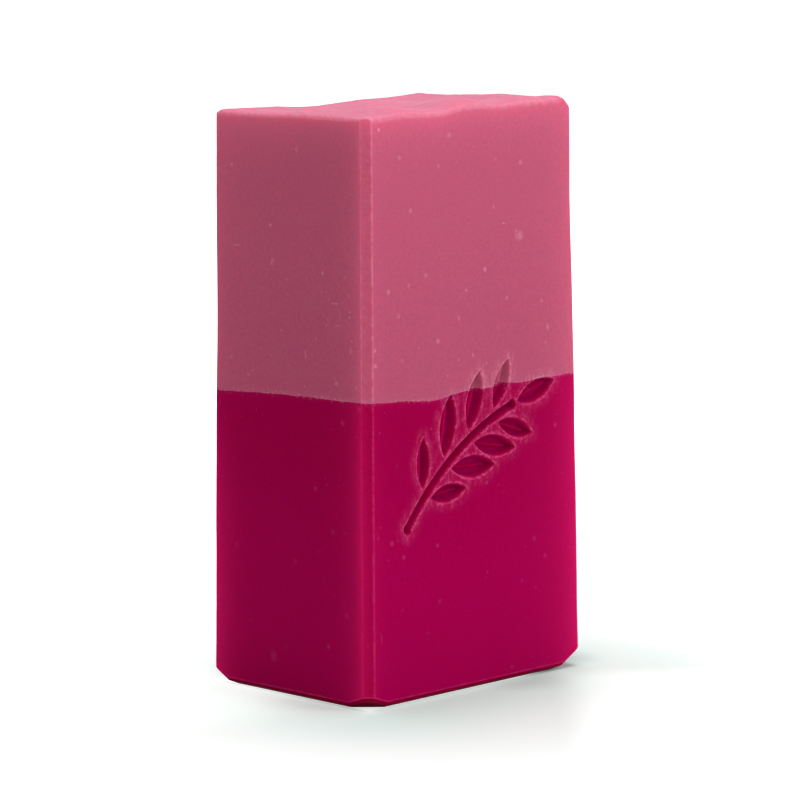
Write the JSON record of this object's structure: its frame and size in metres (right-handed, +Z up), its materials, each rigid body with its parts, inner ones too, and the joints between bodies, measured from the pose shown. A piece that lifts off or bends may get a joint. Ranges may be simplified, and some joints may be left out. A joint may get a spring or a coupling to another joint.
{
  "type": "bar of soap",
  "caption": "Hand-cut bar of soap poured in two colours, standing on its cut end, with planed edges, an uneven poured top and a stamped leaf sprig.",
  "frame": {"origin": "middle of the footprint on which the bar stands", "axes": "+Z up from the cut foot to the poured top, -Y out of the stamped wide face, +X to the right along that face"},
  "size_m": [0.0432, 0.0302, 0.0811],
  "materials": {
    "magenta_soap": "smooth hard soap with a soft sheen",
    "pink_soap": "smooth hard soap with a soft sheen and fine air bubbles"
  },
  "bodies": {
    "root": {"base_layer": "magenta_soap", "top_layer": "pink_soap"}
  },
  "joints": []
}
